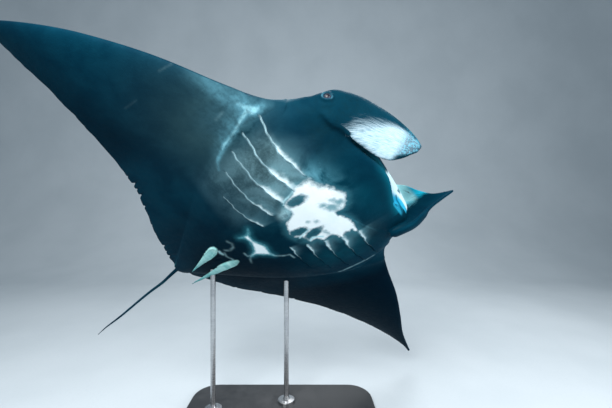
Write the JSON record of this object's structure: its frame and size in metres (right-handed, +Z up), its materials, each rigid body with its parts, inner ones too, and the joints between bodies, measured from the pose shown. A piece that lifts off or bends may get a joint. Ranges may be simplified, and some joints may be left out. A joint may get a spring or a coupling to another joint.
{
  "type": "reef manta ray model",
  "caption": "Life-size manta ray in a banked glide: broad pointed wings, gill-slit belly, one cephalic fin spread and one rolled, thin tail, on a flat base with two rods",
  "frame": {"origin": "centre of the flat underside of the stand's base", "axes": "+Z up; the animal heads towards +X, turned 24 degrees towards -Y, nose up 26 degrees and banked 46 degrees with its left wing down, so that its belly faces -Y and down"},
  "size_m": [2.7463, 1.5483, 2.2959],
  "materials": {
    "skin": "smooth moist ray skin, near-black with a blue cast and pale belly markings",
    "skin_pale": "smooth pale blue-grey ray skin",
    "eye": "glossy dark eye with a pale ring",
    "stand_paint": "satin dark grey paint",
    "rod_steel": "brushed stainless steel"
  },
  "bodies": {
    "root": {"head": "skin", "trunk": "skin", "wing_right_inner": "skin", "wing_right_outer": "skin", "wing_left_inner": "skin", "wing_left_outer": "skin", "cephalic_fin_right": "skin", "cephalic_fin_left": "skin", "dorsal_fin": "skin", "pelvic_fin_right": "skin_pale", "pelvic_fin_left": "skin_pale", "tail_base": "skin", "tail_middle": "skin", "tail_tip": "skin", "eye_right": "eye", "eye_left": "eye", "stand_base": "stand_paint", "stand_rod_front": "rod_steel", "stand_rod_rear": "rod_steel"}
  },
  "joints": []
}
